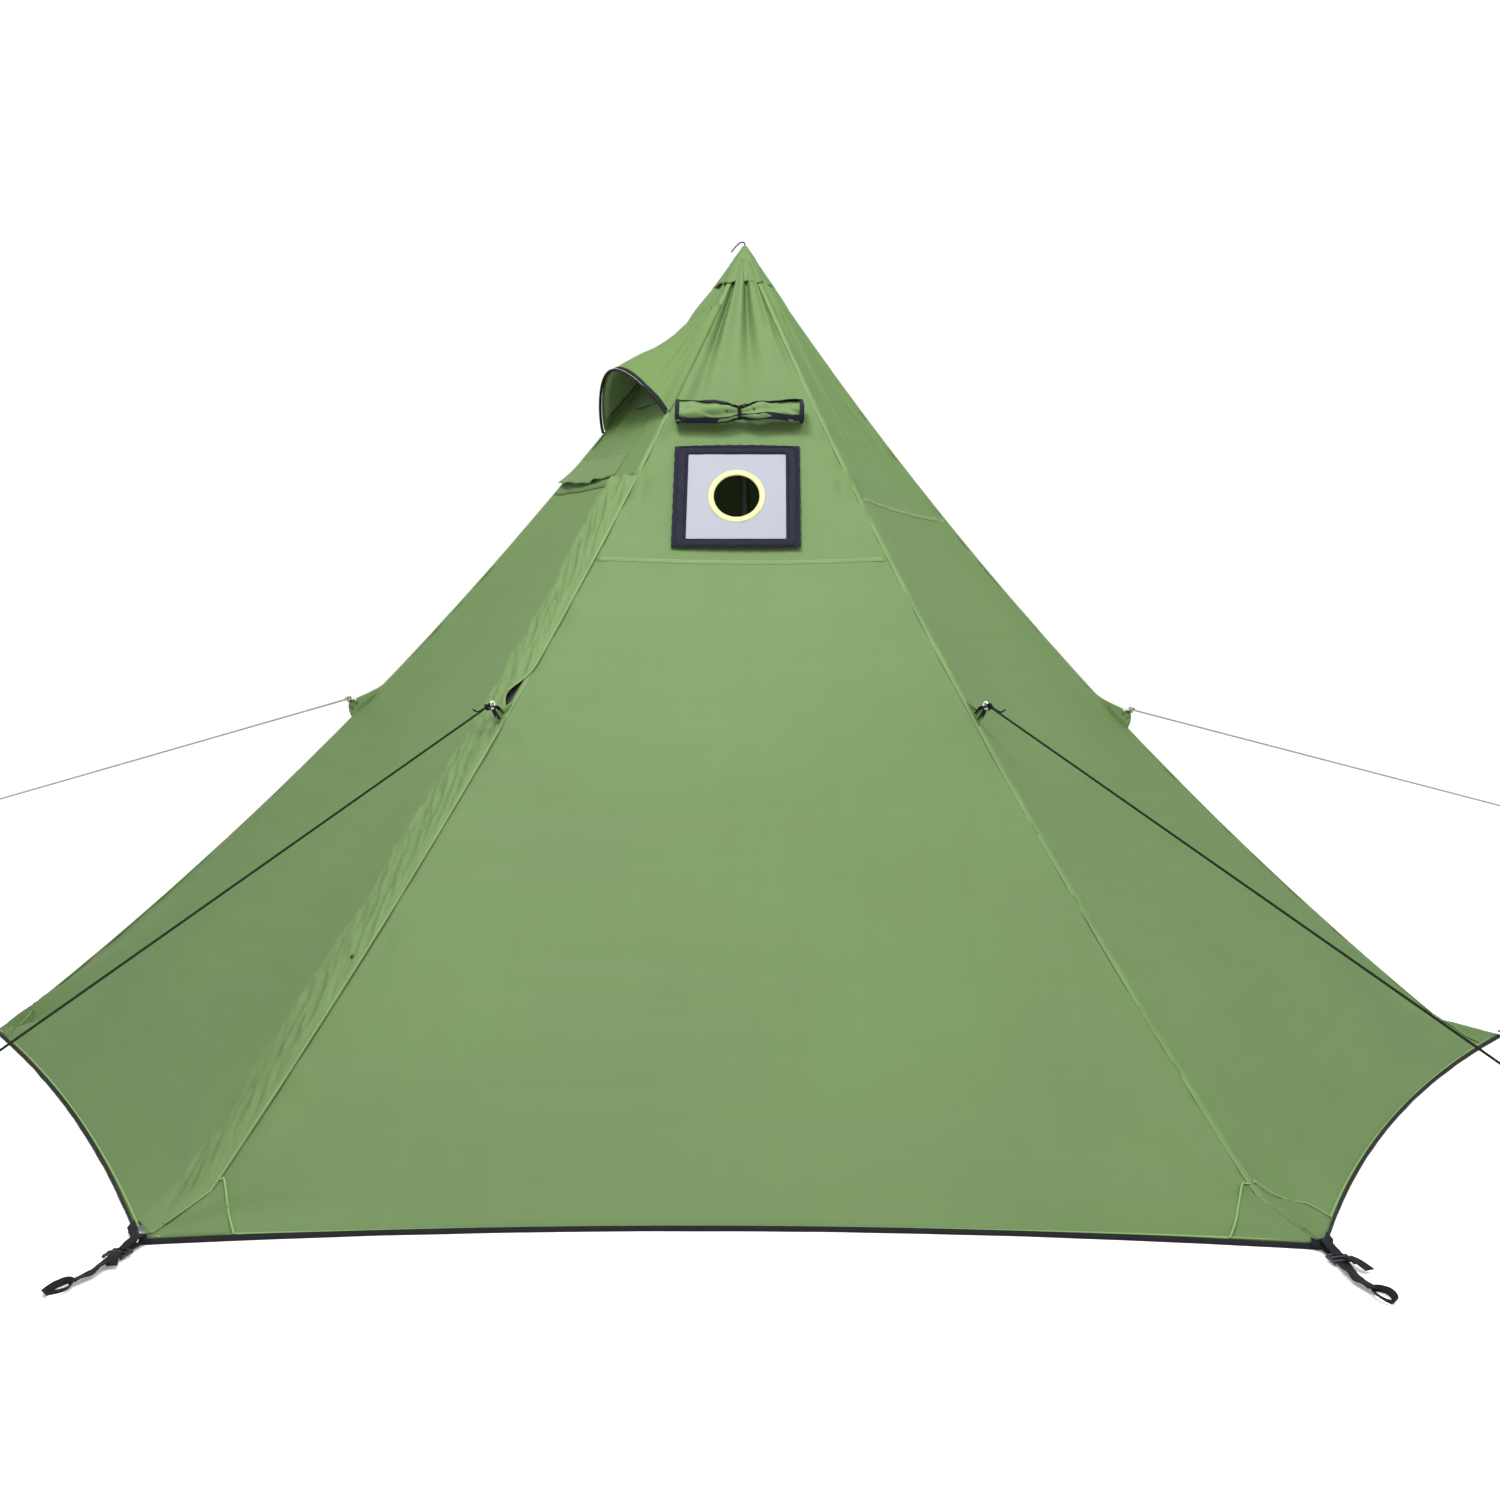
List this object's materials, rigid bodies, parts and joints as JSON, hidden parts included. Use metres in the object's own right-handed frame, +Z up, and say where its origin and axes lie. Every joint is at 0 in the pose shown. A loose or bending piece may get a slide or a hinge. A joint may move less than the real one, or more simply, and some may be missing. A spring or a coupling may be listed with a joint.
{
  "type": "teepee tent",
  "caption": "Six-sided teepee tent on a centre pole, with a stove jack, a zipped door, a hooded vent, guy lines and adjustable corner straps.",
  "frame": {"origin": "on the ground under the peak, at the foot of the centre pole", "axes": "+Z up; the face with the stove jack looks along -Y; +X towards the right-hand corner seen from there"},
  "size_m": [3.8009, 3.8599, 1.6692],
  "materials": {
    "fly_green": "matt woven polyester, light in the front and darker at the sides",
    "trim_green": "matt doubled cloth",
    "webbing_black": "matt woven webbing and binding",
    "netting_black": "fine black netting",
    "plastic_black": "moulded, slightly shiny",
    "jack_grey": "heat-proof fibreglass cloth",
    "jack_tan": "coated heat-proof ring",
    "zip_metal": "plain",
    "pole_aluminium": "satin",
    "rubber_black": "matt",
    "cord_grey": "braided"
  },
  "bodies": {
    "tent": {"front_upper_panel": "fly_green", "front_lower_panel": "fly_green", "right_front_upper_panel": "fly_green", "right_front_lower_panel": "fly_green", "right_rear_panel": "fly_green", "rear_panel": "fly_green", "left_rear_panel": "fly_green", "vent_panel": "fly_green", "vent_mesh": "netting_black", "zip_half_fixed": "webbing_black", "apex_cap": "trim_green", "apex_cord": "cord_grey", "jack_panel": "jack_grey", "jack_ring": "jack_tan", "jack_frame": "webbing_black", "jack_cover_roll": "fly_green", "jack_cover_tie": "webbing_black", "pole_lower": "pole_aluminium", "pole_middle": "pole_aluminium", "pole_upper": "pole_aluminium", "pole_foot": "rubber_black", "right_rear_hem": "webbing_black", "rear_hem": "webbing_black", "left_rear_hem": "webbing_black", "front_hem": "webbing_black", "right_front_hem": "webbing_black", "right_buckle": "plastic_black", "right_guy_tab": "trim_green", "right_guy_line": "cord_grey", "rear_right_buckle": "plastic_black", "rear_right_guy_tab": "trim_green", "rear_left_buckle": "plastic_black", "rear_left_guy_tab": "trim_green", "left_buckle": "plastic_black", "left_guy_tab": "trim_green", "left_guy_line": "cord_grey", "front_left_buckle": "plastic_black", "front_left_guy_tab": "trim_green", "front_left_guy_line": "cord_grey", "front_right_buckle": "plastic_black", "front_right_guy_tab": "trim_green", "front_right_guy_line": "cord_grey"},
    "door": {"door_panel": "fly_green", "zip_half_door": "webbing_black", "door_storm_flap": "fly_green", "door_hem": "webbing_black"},
    "zip_slider": {"zip_slider": "zip_metal"},
    "zip_pull": {"zip_pull": "zip_metal"},
    "vent_hood": {"vent_hood": "fly_green", "vent_hood_rim": "webbing_black"},
    "front_left_runner": {"front_left_guy_runner": "plastic_black"},
    "front_right_runner": {"front_right_guy_runner": "plastic_black"},
    "left_runner": {"left_guy_runner": "plastic_black"},
    "right_runner": {"right_guy_runner": "plastic_black"},
    "right_strap": {"right_strap": "webbing_black"},
    "rear_right_strap": {"rear_right_strap": "webbing_black"},
    "rear_left_strap": {"rear_left_strap": "webbing_black"},
    "left_strap": {"left_strap": "webbing_black"},
    "front_left_strap": {"front_left_strap": "webbing_black"},
    "front_right_strap": {"front_right_strap": "webbing_black"}
  },
  "joints": [
    {"name": "door_swing", "type": "hinge", "parent": "tent", "child": "door", "pos_m": [-1.6, 0, 0.006], "axis": [-0.7251, 0, -0.6886], "range_deg": [0, 100]},
    {"name": "zip_slide", "type": "hinge", "parent": "tent", "child": "zip_slider", "pos_m": [-4.37957, -7.58563, 8.19385], "axis": [0.866, -0.5, 0], "range_deg": [0, 7.57]},
    {"name": "zip_pull_lift", "type": "hinge", "parent": "zip_slider", "child": "zip_pull", "pos_m": [-0.74224, -1.22956, 0.07575], "axis": [-0.6764, 0.6816, -0.2792], "range_deg": [0, 15]},
    {"name": "vent_hood_lift", "type": "hinge", "parent": "tent", "child": "vent_hood", "pos_m": [-0.08102, -0.04739, 1.52459], "axis": [-0.485, 0.8743, -0.0186], "range_deg": [0, 30]},
    {"name": "front_left_runner_slide", "type": "slide", "parent": "tent", "child": "front_left_runner", "axis": [-0.4596, -0.7961, -0.3937], "range_m": [-1, 0.22]},
    {"name": "front_right_runner_slide", "type": "slide", "parent": "tent", "child": "front_right_runner", "axis": [0.4636, -0.803, -0.3745], "range_m": [-1, 0.22]},
    {"name": "left_runner_slide", "type": "slide", "parent": "tent", "child": "left_runner", "axis": [-0.9612, 0, -0.2759], "range_m": [-0.6, 0.08]},
    {"name": "right_runner_slide", "type": "slide", "parent": "tent", "child": "right_runner", "axis": [0.9679, 0, -0.2515], "range_m": [-0.6, 0.08]},
    {"name": "right_strap_slide", "type": "slide", "parent": "tent", "child": "right_strap", "axis": [1, 0, 0], "range_m": [0, 0.04]},
    {"name": "rear_right_strap_slide", "type": "slide", "parent": "tent", "child": "rear_right_strap", "axis": [0.1045, 0.9945, 0], "range_m": [0, 0.04]},
    {"name": "rear_left_strap_slide", "type": "slide", "parent": "tent", "child": "rear_left_strap", "axis": [-0.1736, 0.9848, 0], "range_m": [0, 0.04]},
    {"name": "left_strap_slide", "type": "slide", "parent": "tent", "child": "left_strap", "axis": [-1, 0, 0], "range_m": [0, 0.04]},
    {"name": "front_left_strap_slide", "type": "slide", "parent": "tent", "child": "front_left_strap", "axis": [-0.2079, -0.9781, 0], "range_m": [0, 0.04]},
    {"name": "front_right_strap_slide", "type": "slide", "parent": "tent", "child": "front_right_strap", "axis": [0.0872, -0.9962, 0], "range_m": [0, 0.04]}
  ]
}
